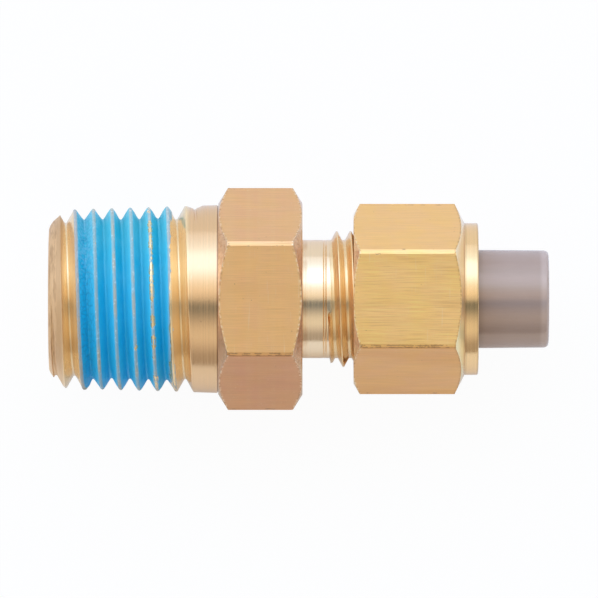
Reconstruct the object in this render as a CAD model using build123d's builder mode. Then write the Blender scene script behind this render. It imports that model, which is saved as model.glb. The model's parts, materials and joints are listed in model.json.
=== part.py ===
from build123d import *
import math
import os

# Male compression fitting for a 6 mm plastic tube, in millimetres.
# Everything is turned about the X axis. The origin is on that axis at the small end of the
# taper thread, +X points to the plastic sleeve, and +Z is square to the flats of the hexagons.

# Taper pipe thread R 1/4
taper_pitch = 1.337
taper_end_dia = 12.85
taper_rate = 1 / 16
taper_flank_angle = 27.5
taper_depth = 0.93
taper_first_groove = 1.504
taper_full_turns = 6.25
taper_runout_turns = 0.67
taper_end_len = 12.25
lead_depth = 1.0
lead_len = 1.18

# Hexagon of the body, 14 mm across flats
body_hex_flats = 14.0
body_hex_len = 6.0
body_hex_face_inset = 0.075
body_hex_slope = 32.0
hex_edge_round = 0.25

# Tube socket and passage through the body
tube_dia = 6.0
tube_clearance = 0.1
flow_dia = 4.0
flow_len = 15.0
flow_edge = 0.3
seat_depth = 0.65
seat_angle = 12.0

# Neck, and the stud that carries the thread M10 x 1
stud_wall = 1.825
stud_len = 7.05
stud_start_slope = 25.0
stud_end_chamfer = 0.7
stud_pitch = 1.0
neck_depth = 0.675
neck_len = 2.05

# Sealing compound in the grooves of the taper thread
sealant_start_turn = 0.5
sealant_end_x = 8.67
sealant_fill = 0.3
sealant_gap = 0.01

# Plastic sleeve: its walls are measured from the bore for the tube
sleeve_tip_wall = 0.25
sleeve_tail_wall = 0.44
sleeve_head_rise = 0.31
sleeve_head_len = 0.6
sleeve_tail_len = 6.29
sleeve_end_edge = 0.16
sleeve_lead_chamfer = 0.15

# Union nut, 12 mm across flats, backed off from its tight place by a number of turns
back_off_turns = 1.0
face_gap = 0.05
back_cone_angle = 45.0
nut_len = 9.0
nut_side_gap = 0.05
nut_flat_wall = 1.025
nut_left_face_proud = 0.14
nut_left_slope = 30.0
nut_right_slope = 27.0
nut_mouth_chamfer = 0.15
collar_inset = 0.5
collar_len = 0.98
collar_edge = 0.12
exit_bore_len = 1.08
exit_gap = 0.07
chamber_gap = 0.625
chamber_len = 0.8

# Sizes that follow from the ones above
taper_flank = math.tan(math.radians(taper_flank_angle))
taper_slope = taper_rate / 2
taper_cone = math.degrees(math.atan(taper_slope))
hex_start = taper_end_len
hex_end = hex_start + body_hex_len
stud_start = hex_end + neck_len
stud_end = stud_start + stud_len
tube_radius = tube_dia / 2 + tube_clearance
stud_radius = tube_radius + stud_wall
neck_radius = stud_radius - neck_depth
seat_radius = tube_radius + seat_depth
seat_slope = math.tan(math.radians(seat_angle))
seat_len = seat_depth / seat_slope


def taper_radius(x):
    """Radius over the crests of the taper thread at a distance from its small end."""
    return taper_end_dia / 2 + x * taper_slope


def corner_radius(across_flats):
    """Radius over the corners of a hexagon."""
    return across_flats / 2 / math.cos(math.radians(30))


def chamfer_len(outer_radius, face_radius, slope):
    """Length along the axis of an end chamfer of that slope, from its face to its outer radius."""
    return (outer_radius - face_radius) * math.tan(math.radians(slope))


def thread_strip(radius, outline, turns, cone):
    """Section swept along a right-hand helix on a cone, from the +Z side at x = 0.

    The outline holds (along the axis, away from the axis) points from the start of the helix.
    """
    with BuildPart() as strip:
        with BuildLine():
            Helix(taper_pitch, turns * taper_pitch, radius, direction=(1, 0, 0), cone_angle=cone)
        with BuildSketch(Plane(origin=(0, 0, radius), x_dir=(1, 0, 0), z_dir=(0, -1, 0))):
            with BuildLine():
                Polyline(*outline, close=True)
            make_face()
        sweep(is_frenet=True)
    return strip.part


def turn_place(turn):
    """Place of a strip that starts a number of turns after the groove's first root on the +Z side."""
    return Location((taper_first_groove + turn * taper_pitch, 0, 0), (360 * turn, 0, 0))


def root_radius(turn):
    """Radius at the root of the taper thread's groove after a number of turns."""
    return taper_radius(taper_first_groove + turn * taper_pitch) - taper_depth


def hexagon(across_flats, start, length, envelope):
    """Hexagon bar with rounded long edges, turned to the outline of its end chamfers."""
    with BuildPart() as bar:
        with BuildSketch(Plane.YZ.offset(start)) as section:
            RegularPolygon(across_flats / 2, 6, major_radius=False)
            fillet(section.vertices(), hex_edge_round)
        extrude(amount=length)
        with BuildSketch(Plane.XY):
            with BuildLine():
                Polyline(*envelope, close=True)
            make_face()
        revolve(axis=Axis.X, mode=Mode.INTERSECT)
    return bar.part


# Connector body
groove_proud = 0.12
groove_top = taper_depth + groove_proud
groove_outline = [(-groove_top * taper_flank, groove_top), (0, 0), (groove_top * taper_flank, groove_top)]
groove_step = 0.5
groove_run_in = groove_step * math.ceil(taper_first_groove / taper_pitch / groove_step)
groove_steps = math.ceil((taper_full_turns + groove_run_in) / groove_step)
runout_start = groove_steps * groove_step - groove_run_in
runout_cone = math.degrees(math.atan(groove_top / (taper_runout_turns * taper_pitch)))

lead_radius = taper_end_dia / 2 - lead_depth
stud_start_len = chamfer_len(stud_radius, neck_radius, stud_start_slope)
body_face_radius = body_hex_flats / 2 - body_hex_face_inset
body_corner = corner_radius(body_hex_flats)
body_chamfer = chamfer_len(body_corner, body_face_radius, body_hex_slope)
body_envelope = [
    (hex_start, 0),
    (hex_start, body_face_radius),
    (hex_start + body_chamfer, body_corner),
    (hex_end - body_chamfer, body_corner),
    (hex_end, body_face_radius),
    (hex_end, 0),
]

with BuildPart() as connector_body:
    with BuildSketch(Plane.XY):
        with BuildLine():
            Polyline(
                (0, 0),
                (0, lead_radius),
                (lead_len, taper_radius(lead_len)),
                (hex_start, taper_radius(hex_start)),
                (hex_start, neck_radius),
                (stud_start, neck_radius),
                (stud_start + stud_start_len, stud_radius),
                (stud_end - stud_end_chamfer, stud_radius),
                (stud_end, stud_radius - stud_end_chamfer),
                (stud_end, 0),
                close=True,
            )
        make_face()
    revolve(axis=Axis.X)

    # Groove of the taper thread in half turns, each on a slightly larger radius than the last,
    # and a last one that rises out of the metal
    for step in range(groove_steps):
        turn = step * groove_step - groove_run_in
        groove = thread_strip(root_radius(turn), groove_outline, groove_step, taper_cone)
        add(turn_place(turn) * groove, mode=Mode.SUBTRACT)
    runout = thread_strip(root_radius(runout_start), groove_outline, taper_runout_turns, runout_cone)
    add(turn_place(runout_start) * runout, mode=Mode.SUBTRACT)

    add(hexagon(body_hex_flats, hex_start, body_hex_len, body_envelope))

    # Flow bore, tube socket with its stop, and the conical seat of the sleeve
    with BuildSketch(Plane.XY):
        with BuildLine():
            Polyline(
                (0, 0),
                (0, flow_dia / 2 + flow_edge),
                (flow_edge, flow_dia / 2),
                (flow_len, flow_dia / 2),
                (flow_len, tube_radius),
                (stud_end - seat_len, tube_radius),
                (stud_end, seat_radius),
                (stud_end, 0),
                close=True,
            )
        make_face()
    revolve(axis=Axis.X, mode=Mode.SUBTRACT)
connector_body.part.label = "connector_body"

# Sealing compound: a strip that fills the bottom of the groove, cut off square to the axis
sealant_apex = sealant_gap / math.sin(math.radians(taper_flank_angle))
sealant_half = (sealant_fill - sealant_apex) * taper_flank
sealant_outline = [(-sealant_half, sealant_fill), (0, sealant_apex), (sealant_half, sealant_fill)]
sealant_end_turn = (sealant_end_x + sealant_half - taper_first_groove) / taper_pitch + groove_step
sealant_turns = sealant_end_turn - sealant_start_turn
sealant_root = root_radius(sealant_start_turn)

with BuildPart() as thread_sealant:
    strip = thread_strip(sealant_root, sealant_outline, sealant_turns, taper_cone)
    add(turn_place(sealant_start_turn) * strip)
    split(bisect_by=Plane.YZ.offset(sealant_end_x), keep=Keep.BOTTOM)
thread_sealant.part.label = "thread_sealant"

# Sleeve: a nose that fits the seat, a head that the nut pushes, and a tail round the tube
tip_radius = tube_radius + sleeve_tip_wall
tail_radius = tube_radius + sleeve_tail_wall
head_radius = tail_radius + sleeve_head_rise
seat_side_gap = face_gap / math.cos(math.radians(seat_angle))
nose_in_seat = (seat_radius - tip_radius - seat_side_gap) / seat_slope
tip_x = stud_end - nose_in_seat + back_off_turns * stud_pitch
head_x = tip_x + (head_radius - tip_radius) / seat_slope
back_x = head_x + sleeve_head_len
back_slope = math.tan(math.radians(back_cone_angle))
tail_x = back_x + sleeve_head_rise / back_slope
sleeve_end = tail_x + sleeve_tail_len

with BuildPart() as sleeve:
    with BuildSketch(Plane.XY):
        with BuildLine():
            Polyline(
                (tip_x, tube_radius),
                (tip_x, tip_radius),
                (head_x, head_radius),
                (back_x, head_radius),
                (tail_x, tail_radius),
                (sleeve_end - sleeve_end_edge, tail_radius),
                (sleeve_end, tail_radius - sleeve_end_edge),
                (sleeve_end, tube_radius + sleeve_lead_chamfer),
                (sleeve_end - sleeve_lead_chamfer, tube_radius),
                close=True,
            )
        make_face()
    revolve(axis=Axis.X)
sleeve.part.label = "sleeve"

# Union nut: its bore runs over the crests of the stud and its cone pushes the head of the sleeve
exit_radius = tail_radius + exit_gap
chamber_radius = head_radius + chamber_gap
nut_bore = stud_radius + nut_side_gap
nut_hex_flats = 2 * (nut_bore + nut_flat_wall)
cone_reach = face_gap / math.sin(math.radians(back_cone_angle))
cone_end = tail_x - exit_gap / back_slope + cone_reach
cone_start = cone_end - (chamber_radius - exit_radius) / back_slope
bore_end = cone_start - chamber_len
nut_end = cone_end + exit_bore_len
nut_start = nut_end - nut_len
nut_corner = corner_radius(nut_hex_flats)
nut_left_radius = nut_hex_flats / 2 + nut_left_face_proud
nut_left_len = chamfer_len(nut_corner, nut_left_radius, nut_left_slope)
collar_radius = nut_hex_flats / 2 - collar_inset
collar_start = nut_end - collar_len
nut_right_len = chamfer_len(nut_corner, collar_radius, nut_right_slope)
nut_envelope = [
    (nut_start, 0),
    (nut_start, nut_left_radius),
    (nut_start + nut_left_len, nut_corner),
    (collar_start - nut_right_len, nut_corner),
    (collar_start, collar_radius),
    (nut_end - collar_edge, collar_radius),
    (nut_end, collar_radius - collar_edge),
    (nut_end, 0),
]

with BuildPart() as union_nut:
    add(hexagon(nut_hex_flats, nut_start, nut_len, nut_envelope))
    with BuildSketch(Plane.XY):
        with BuildLine():
            Polyline(
                (nut_start, 0),
                (nut_start, nut_bore + nut_mouth_chamfer),
                (nut_start + nut_mouth_chamfer, nut_bore),
                (bore_end, nut_bore),
                (bore_end, chamber_radius),
                (cone_start, chamber_radius),
                (cone_end, exit_radius),
                (nut_end, exit_radius),
                (nut_end, 0),
                close=True,
            )
        make_face()
    revolve(axis=Axis.X, mode=Mode.SUBTRACT)
union_nut.part.label = "union_nut"

print("nut from", round(nut_start, 3), "to", round(nut_end, 3), "sleeve to", round(sleeve_end, 3))

os.makedirs("parts", exist_ok=True)
export_step(connector_body.part, "parts/connector_body.step")
export_step(thread_sealant.part, "parts/thread_sealant.step")
export_step(sleeve.part, "parts/sleeve.step")
export_step(union_nut.part, "parts/union_nut.step")
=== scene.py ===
# %% [markdown]
# # A brass tube fitting, dressed for its portrait
#
# The real object is a small connector for a plastic tube: a turned brass body with a taper pipe
# thread, a union nut, and a grey plastic sleeve that grips the tube. The frame brings the solids at
# their true size. Here each of them gets a finer twin: real threads, worked edges, drawn and
# turned metal, and the blue compound that seals the pipe thread.

import json
import math

import bmesh
import bpy
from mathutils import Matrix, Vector, noise

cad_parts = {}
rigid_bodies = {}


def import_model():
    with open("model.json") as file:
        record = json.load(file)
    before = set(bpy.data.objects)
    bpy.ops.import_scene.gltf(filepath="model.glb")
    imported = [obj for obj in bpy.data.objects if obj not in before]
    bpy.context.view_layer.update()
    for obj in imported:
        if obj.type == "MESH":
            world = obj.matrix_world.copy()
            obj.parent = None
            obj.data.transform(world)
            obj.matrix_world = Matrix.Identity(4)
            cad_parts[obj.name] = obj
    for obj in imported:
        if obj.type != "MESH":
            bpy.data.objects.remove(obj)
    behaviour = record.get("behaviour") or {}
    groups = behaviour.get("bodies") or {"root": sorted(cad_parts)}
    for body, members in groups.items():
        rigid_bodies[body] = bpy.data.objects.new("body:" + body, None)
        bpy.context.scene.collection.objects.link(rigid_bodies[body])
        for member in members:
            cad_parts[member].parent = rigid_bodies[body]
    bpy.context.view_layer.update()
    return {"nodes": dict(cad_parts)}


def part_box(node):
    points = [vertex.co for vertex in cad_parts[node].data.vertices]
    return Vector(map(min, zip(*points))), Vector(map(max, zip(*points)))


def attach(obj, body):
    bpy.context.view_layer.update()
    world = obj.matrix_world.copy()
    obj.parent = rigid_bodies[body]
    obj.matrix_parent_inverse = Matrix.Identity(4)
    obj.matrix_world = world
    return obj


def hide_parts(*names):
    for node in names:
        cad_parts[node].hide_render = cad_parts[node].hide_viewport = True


for thing in list(bpy.data.objects):
    bpy.data.objects.remove(thing)
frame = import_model()
print("solids:", sorted(frame["nodes"]))

# %% [markdown]
# ## Sizes
#
# The pieces are modelled a thousand times too large, one unit to the millimetre, because Blender's
# tools for merging, cutting and bevelling are made for sizes near one. Each finished piece is then
# shrunk to metres. The places come from the frame's boxes, so the pieces land on their solids.

# %% Places along the axis, in millimetres
MM = 0.001
body_low, body_high = [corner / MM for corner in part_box("connector_body")]
nut_low, nut_high = [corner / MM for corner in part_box("union_nut")]
sleeve_low, sleeve_high = [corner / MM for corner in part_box("sleeve")]
seal_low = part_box("thread_sealant")[0] / MM

hex_start = 12.25
hex_end = 18.34
stud_start = 20.3
stud_end = body_high.x
flats_radius = body_high.z
nut_flats_radius = nut_high.z
around = 160
print("nut", round(nut_low.x, 3), round(nut_high.x, 3), "sleeve end", round(sleeve_high.x, 3))

# %% [markdown]
# ## Three tools of a small workshop
#
# A lathe turns an outline round the axis: a circle with as many points as the outline has corners
# is pulled into shape, its sharp corners are rounded, and Spin carries it round. A saw is the
# Boolean modifier with the exact solver. A bench, last, smooths what is round, keeps what is
# sharp and puts the finished piece on its body of the frame.

# %% The lathe
def nothing_selected():
    """Leaves edit mode and selects nothing."""
    if bpy.context.object and bpy.context.object.mode != "OBJECT":
        bpy.ops.object.mode_set(mode="OBJECT")
    bpy.ops.object.select_all(action="DESELECT")


def alone(piece):
    """Selects one piece and nothing else."""
    nothing_selected()
    piece.select_set(True)
    bpy.context.view_layer.objects.active = piece


def edit_mesh(piece):
    """Puts one piece alone in edit mode and hands back its editable mesh."""
    alone(piece)
    bpy.ops.object.mode_set(mode="EDIT")
    return bmesh.from_edit_mesh(piece.data)


def tidy_shell(merge=1e-4):
    """Merges doubles and turns every face of the mesh in edit mode outwards."""
    bpy.ops.mesh.select_all(action="SELECT")
    bpy.ops.mesh.remove_doubles(threshold=merge)
    bpy.ops.mesh.normals_make_consistent(inside=False)
    bpy.ops.object.mode_set(mode="OBJECT")


def outline_loop(name, corners):
    """Closed outline of (x, radius) corners above the axis, pulled out of a plain circle."""
    nothing_selected()
    bpy.ops.mesh.primitive_circle_add(vertices=len(corners), radius=1, fill_type="NOTHING")
    loop = bpy.context.object
    loop.name = name
    for vert, (x, radius) in zip(loop.data.vertices, corners):
        vert.co = (x, 0, radius)
    return loop


def round_corners(piece, corners, size, segments=3):
    """Rounds the outline's corners that lie at the given (x, radius) places."""
    mesh = edit_mesh(piece)
    for vert in mesh.verts:
        vert.select = any(math.hypot(vert.co.x - x, vert.co.z - r) < 1e-3 for x, r in corners)
    mesh.select_flush_mode()
    bmesh.update_edit_mesh(piece.data)
    bpy.ops.mesh.bevel(offset=size, segments=segments, affect="VERTICES")


def turned(name, corners, rounds=(), size=0.05, steps=around):
    """Solid of revolution round the X axis, from a closed outline."""
    piece = outline_loop(name, corners)
    if rounds:
        round_corners(piece, rounds, size)
    edit_mesh(piece)
    bpy.ops.mesh.select_all(action="SELECT")
    bpy.ops.mesh.spin(steps=steps, angle=2 * math.pi, center=(0, 0, 0), axis=(1, 0, 0))
    tidy_shell()
    return piece


# %% The saw
def worked(piece, tool, operation):
    """Cuts a tool out of a piece, joins it on, or keeps what both share. The tool is used up."""
    alone(piece)
    bpy.ops.object.modifier_add(type="BOOLEAN")
    saw = piece.modifiers[-1]
    saw.object = tool
    saw.operation = operation
    saw.solver = "EXACT"
    bpy.ops.object.modifier_apply(modifier=saw.name)
    bpy.data.objects.remove(tool)
    edit_mesh(piece)
    bpy.ops.mesh.select_all(action="SELECT")
    bpy.ops.mesh.remove_doubles(threshold=2e-5)
    bpy.ops.mesh.dissolve_degenerate(threshold=2e-5)
    bpy.ops.mesh.fill_holes(sides=4)
    bpy.ops.object.mode_set(mode="OBJECT")
    return piece


def closed_count(piece):
    """Number of edges that don't join exactly two faces."""
    mesh = bmesh.new()
    mesh.from_mesh(piece.data)
    loose = sum(1 for edge in mesh.edges if not edge.is_manifold)
    mesh.free()
    return loose


# %% The bench
def finished(piece, body, node, angle=28):
    """Shrinks a piece to metres, smooths it and lets it stand for its solid."""
    alone(piece)
    piece.scale = (MM, MM, MM)
    bpy.ops.object.transform_apply(location=True, rotation=True, scale=True)
    bpy.ops.object.shade_smooth_by_angle(angle=math.radians(angle))
    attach(piece, body)
    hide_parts(node)
    triangles = sum(len(face.vertices) - 2 for face in piece.data.polygons)
    print(piece.name, "triangles", triangles, "open edges", closed_count(piece))
    return piece


# %% [markdown]
# ## A thread
#
# A thread is one tooth outline that walks along the axis while it turns. The Screw modifier does
# that to an open outline: one pitch forward for each turn. The ends of such a tube are steps, so it
# is made too long and sawn off square on both sides, where Fill closes it to a solid.

# %% Tooth outline and screw
def tooth_outline(start, pitch, crest, root, high, low):
    """One pitch of a thread's wall, from crest to crest. Crest and root are half widths."""
    middle = start + pitch / 2
    return [
        (start, high), (start + crest, high), (middle - root, low),
        (middle + root, low), (start + pitch - crest, high), (start + pitch, high),
    ]


def thread_tube(name, outline, pitch, turns, rounds, size, steps=around, segments=2, splits=0):
    """Tube whose wall is a tooth outline, one pitch long, carried round the axis."""
    piece = outline_loop(name, outline)
    mesh = edit_mesh(piece)
    bpy.ops.mesh.select_mode(type="EDGE")
    for edge in mesh.edges:
        edge.select = abs(edge.verts[0].co.x - edge.verts[1].co.x) > 0.9 * pitch
    bmesh.update_edit_mesh(piece.data)
    bpy.ops.mesh.delete(type="EDGE_FACE")
    bpy.ops.mesh.select_mode(type="VERT")
    round_corners(piece, rounds, size, segments)
    if splits:
        bpy.ops.mesh.select_all(action="SELECT")
        bpy.ops.mesh.subdivide(number_cuts=splits)
    bpy.ops.object.mode_set(mode="OBJECT")
    bpy.ops.object.modifier_add(type="SCREW")
    screw = piece.modifiers[-1]
    screw.axis = "X"
    screw.screw_offset = pitch
    screw.iterations = turns
    screw.steps = steps
    screw.render_steps = steps
    bpy.ops.object.modifier_apply(modifier=screw.name)
    edit_mesh(piece)
    tidy_shell()
    return piece


def sawn_off(piece, start, end, close=True):
    """Cuts a tube square to the axis at both ends and closes it."""
    edit_mesh(piece)
    bpy.ops.mesh.select_all(action="SELECT")
    bpy.ops.mesh.bisect(plane_co=(start, 0, 0), plane_no=(1, 0, 0), clear_inner=True, use_fill=close)
    bpy.ops.mesh.select_all(action="SELECT")
    bpy.ops.mesh.bisect(plane_co=(end, 0, 0), plane_no=(1, 0, 0), clear_outer=True, use_fill=close)
    tidy_shell()
    return piece


# %% [markdown]
# ## The taper pipe thread
#
# It is a 1/4 inch taper thread: 19 teeth to the inch, flanks at 55 degrees to each other, and a
# radius that grows by 1/32 of the length. The die lifts out of the metal over the last part of a
# turn, so the groove gets shallow there: those points are moved outwards, by how far along the
# groove they lie.

# %% Taper thread
pitch = 1.337
end_radius = 6.425
taper = 1 / 32
depth = 0.93
crest_half = 0.065
root_half = 0.08
first_groove = 1.504
full_turns = 6.25
runout_turns = 0.61
tube_start = first_groove - pitch * 2.5
tube_turns = 13

taper_outline = tooth_outline(tube_start, pitch, crest_half, root_half, end_radius, end_radius - depth)


def groove_turn(place):
    """How many turns along the groove a point lies, counted from its first root above the axis."""
    part = math.atan2(-place.y, place.z) / (2 * math.pi) % 1
    return round((place.x - first_groove) / pitch - part) + part


def pipe_thread(name, outline, steps=around, segments=2, splits=0):
    """The tapered tube with its run-out, before it is sawn off."""
    tube = thread_tube(name, outline, pitch, tube_turns, outline[1:-1], 0.05, steps, segments, splits)
    for vert in tube.data.vertices:
        radius = math.hypot(vert.co.y, vert.co.z)
        lifted = min(max((groove_turn(vert.co) - full_turns) / runout_turns, 0), 1)
        cut = max(end_radius - radius - lifted * depth, 0) * (1 + 0.8 * lifted)
        grown = end_radius - cut + vert.co.x * taper
        vert.co.y *= grown / radius
        vert.co.z *= grown / radius
    return tube


body = sawn_off(pipe_thread("fitting_body", taper_outline), 0, hex_start + 1)
print("thread", len(body.data.vertices), "points, open edges", closed_count(body))

# %% [markdown]
# The turner chamfers the small end before the die starts. A ring that only touches the teeth there
# is cut away, as a tool would do it.

# %% Lead chamfer
lead_tool = turned("lead_tool", [
    (-1, 4.3),
    (-0.02, 5.08),
    (0.1, 5.37),
    (0.3, 5.65),
    (0.6, 5.91),
    (1.1, 6.38),
    (2.1, 7.4),
    (2.1, 9),
    (-1, 9),
])
worked(body, lead_tool, "DIFFERENCE")
print("after the lead chamfer, open edges", closed_count(body))


# %% [markdown]
# ## Hexagons
#
# Both hexagons come from drawn bar: six flats whose long edges are broken to a narrow strip. On the
# lathe their corners are turned off at an angle, which leaves the curved lines at the ends of each
# flat. So a six-sided cylinder is bevelled along its length and then kept only where it lies inside
# a turned shape.

# %% Hexagon bar
def hexagon_bar(name, flats, start, end, edge, side_edge):
    """Bar with its flats square to Z and its long edges broken, less so at the two sides."""
    bpy.ops.object.select_all(action="DESELECT")
    bpy.ops.mesh.primitive_cylinder_add(
        vertices=6, radius=flats / math.cos(math.pi / 6), depth=end - start,
        location=((start + end) / 2, 0, 0), rotation=(0, math.pi / 2, 0),
    )
    bar = bpy.context.object
    bar.name = name
    bpy.ops.object.transform_apply(location=True, rotation=True, scale=True)
    for at_side, size in ((False, edge), (True, side_edge)):
        mesh = edit_mesh(bar)
        bpy.ops.mesh.select_mode(type="EDGE")
        bpy.ops.mesh.select_all(action="DESELECT")
        for item in mesh.edges:
            lengthwise = abs(item.verts[0].co.x - item.verts[1].co.x) > 1e-3
            on_corner = math.hypot(item.verts[0].co.y, item.verts[0].co.z) > flats * 1.15
            item.select = lengthwise and on_corner and (abs(item.verts[0].co.z) < 0.1) == at_side
        bmesh.update_edit_mesh(bar.data)
        bpy.ops.mesh.bevel(offset=size, segments=1, affect="EDGES")
    bpy.ops.mesh.select_mode(type="VERT")
    tidy_shell()
    return bar


# %% The body's hexagon
corner_radius = flats_radius / math.cos(math.pi / 6)
face_radius = 6.925
hex_slope = 32
chamfer = (corner_radius - face_radius) * math.tan(math.radians(hex_slope))
hexagon = hexagon_bar("hexagon", flats_radius, hex_start, hex_end, edge=0.21, side_edge=0.09)
envelope = turned("envelope", [
    (hex_start, 0.5),
    (hex_start, face_radius),
    (hex_start + chamfer, corner_radius),
    (hex_end - chamfer, corner_radius),
    (hex_end, face_radius),
    (hex_end, 0.5),
], steps=192)
worked(hexagon, envelope, "INTERSECT")
worked(body, hexagon, "UNION")
print("with the hexagon, open edges", closed_count(body))

# %% [markdown]
# The turning tool leaves a narrow groove where the shoulder meets the hexagon. It is cut with a
# thin ring.

# %% Corner groove
corner_tool = turned("corner_tool", [
    (hex_start - 0.075, 9),
    (hex_start - 0.075, 6.78),
    (hex_start - 0.055, 6.73),
    (hex_start - 0.004, 6.73),
    (hex_start - 0.004, 9),
])
worked(body, corner_tool, "DIFFERENCE")
print("with the corner groove, open edges", closed_count(body))

# %% [markdown]
# ## Neck and fine thread
#
# Behind the hexagon a short neck leads to the thread of the union nut, 10 mm wide with 1 mm from
# tooth to tooth. Its teeth are nearly sharp. The thread is made all along and then brought down to
# the turned blank wherever it stands out of it: at the neck, on the slope where the first tooth
# fades in, and at the far end. Two fine rings, which the tool scratched, are cut into the neck.

# %% Stud
stud_pitch = 1.0
stud_radius = 4.925
stud_depth = 0.64
stud_first_groove = stud_start + 0.26
neck_radius = 4.28
stud_tube_start = stud_first_groove - 4.5 * stud_pitch
stud_crest = 0.05
stud_root = 0.11
stud_outline = tooth_outline(
    stud_tube_start, stud_pitch, stud_crest, stud_root, stud_radius, stud_radius - stud_depth
)
stud_blank = [
    (stud_start, neck_radius),
    (stud_start + 0.12, 4.8),
    (stud_start + 0.55, stud_radius),
    (stud_end - 0.7, stud_radius),
    (stud_end, stud_radius - 0.7),
]


def blank_radius(x):
    """Radius of the turned blank at a place along the axis."""
    for (near, near_radius), (far, far_radius) in zip(stud_blank, stud_blank[1:]):
        if x <= far:
            part = max((x - near) / (far - near), 0)
            return near_radius + (far_radius - near_radius) * part
    return stud_blank[-1][1]


stud = thread_tube("stud", stud_outline, stud_pitch, 15, stud_outline[1:5], 0.03, splits=1)
for vert in stud.data.vertices:
    radius = math.hypot(vert.co.y, vert.co.z)
    kept = min(1, blank_radius(vert.co.x) / radius)
    vert.co.y *= kept
    vert.co.z *= kept
sawn_off(stud, hex_end - 1, stud_end)
print("stud, open edges", closed_count(stud))
worked(body, stud, "UNION")
print("with the stud, open edges", closed_count(body))
for ring_place in (19.865, 20.035):
    ring_tool = turned("ring_tool", [
        (ring_place - 0.12, neck_radius + 0.05),
        (ring_place, neck_radius - 0.03),
        (ring_place + 0.12, neck_radius + 0.05),
    ], steps=150)
    worked(body, ring_tool, "DIFFERENCE")
print("with the rings, open edges", closed_count(body))

# %% Bore, tube socket and seat
tube_radius = 3.1
flow_radius = 2.0
flow_len = 15.0
seat_radius = 3.75
seat_slope = math.tan(math.radians(12))
seat_len = (seat_radius - tube_radius) / seat_slope
past = 0.5
drill = turned("drill", [
    (-past, 0.02),
    (-past, flow_radius + 0.3 + past),
    (0.3, flow_radius),
    (flow_len, flow_radius),
    (flow_len, tube_radius),
    (stud_end - seat_len, tube_radius),
    (stud_end, seat_radius),
    (stud_end + past, seat_radius + past * seat_slope),
    (stud_end + past, 0.02),
])
worked(body, drill, "DIFFERENCE")
print("drilled, open edges", closed_count(body))

# %% [markdown]
# ## The union nut
#
# The nut is turned from smaller hexagon bar. One end is chamfered to a circle that only just
# touches the flats, the other is turned down to a round collar. Inside, the thread runs as far as
# a short plain chamber, and a cone behind it pushes on the head of the sleeve.

# %% Nut, outside
nut_start = nut_low.x
nut_end = nut_high.x
nut_corner = nut_flats_radius / math.cos(math.pi / 6)
nut_face = nut_flats_radius + 0.14
collar_radius = nut_flats_radius - 0.5
collar_start = nut_end - 0.98
left_slope = 30
right_slope = 27
left_chamfer = (nut_corner - nut_face) * math.tan(math.radians(left_slope))
right_chamfer = (nut_corner - collar_radius) * math.tan(math.radians(right_slope))
nut = hexagon_bar("union_nut_brass", nut_flats_radius, nut_start, nut_end, edge=0.21, side_edge=0.07)
nut_shape = [
    (nut_start, 0.5),
    (nut_start, nut_face),
    (nut_start + left_chamfer, nut_corner),
    (collar_start - right_chamfer, nut_corner),
    (collar_start, collar_radius),
    (nut_end, collar_radius),
    (nut_end, 0.5),
]
nut_envelope = turned("nut_envelope", nut_shape, nut_shape[5:6], 0.12, steps=192)
worked(nut, nut_envelope, "INTERSECT")

# %% Nut, inside
exit_radius = 3.61
chamber_radius = 4.475
cone_len = chamber_radius - exit_radius
exit_start = nut_end - 1.08
cone_start = exit_start - cone_len
relief_end = cone_start - 0.8
relief_start = relief_end - 0.7
nut_minor = 4.475
nut_major = 5.03
nut_bit = turned("nut_bit", [
    (nut_start - past, 0.02),
    (nut_start - past, nut_minor + 0.65 + past),
    (nut_start + 0.65, nut_minor),
    (relief_start, nut_minor),
    (relief_start, nut_major + 0.05),
    (relief_end, nut_major + 0.05),
    (relief_end, chamber_radius),
    (cone_start, chamber_radius),
    (exit_start, exit_radius),
    (nut_end - 0.1, exit_radius),
    (nut_end + past, exit_radius + past + 0.1),
    (nut_end + past, 0.02),
])
worked(nut, nut_bit, "DIFFERENCE")
tap_start = stud_first_groove + 0.5 * stud_pitch - 2 * stud_pitch
tap_outline = tooth_outline(tap_start, stud_pitch, 0.11, 0.06, nut_major, nut_minor - 0.02)
tap = thread_tube("tap", tap_outline, stud_pitch, 12, tap_outline[1:5], 0.03, steps=96, segments=1)
sawn_off(tap, nut_start - past, relief_start + 0.35)
worked(nut, tap, "DIFFERENCE")
print("nut, open edges", closed_count(nut))

# %% [markdown]
# ## Nicks
#
# Spanners and the other fittings in the box have nicked the edges. Each nick is a small ball pressed
# into an edge, joined with the others of its piece to one tool.

# %% Nicks in the edges
def nicked(piece, places):
    """Presses balls into a piece; places are (x, radius, degrees from the top towards +Y, size)."""
    bpy.ops.object.select_all(action="DESELECT")
    balls = []
    for x, radius, degrees, size in places:
        lean = math.radians(degrees)
        bpy.ops.mesh.primitive_ico_sphere_add(
            subdivisions=2, radius=size, location=(x, radius * math.sin(lean), radius * math.cos(lean))
        )
        balls.append(bpy.context.object)
        bpy.ops.object.select_all(action="DESELECT")
    for ball in balls:
        ball.select_set(True)
    bpy.context.view_layer.objects.active = balls[0]
    bpy.ops.object.join()
    bpy.ops.object.transform_apply(location=True, rotation=True, scale=True)
    worked(piece, bpy.context.object, "DIFFERENCE")
    print(piece.name, "nicks", len(places), "open edges", closed_count(piece))


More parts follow.
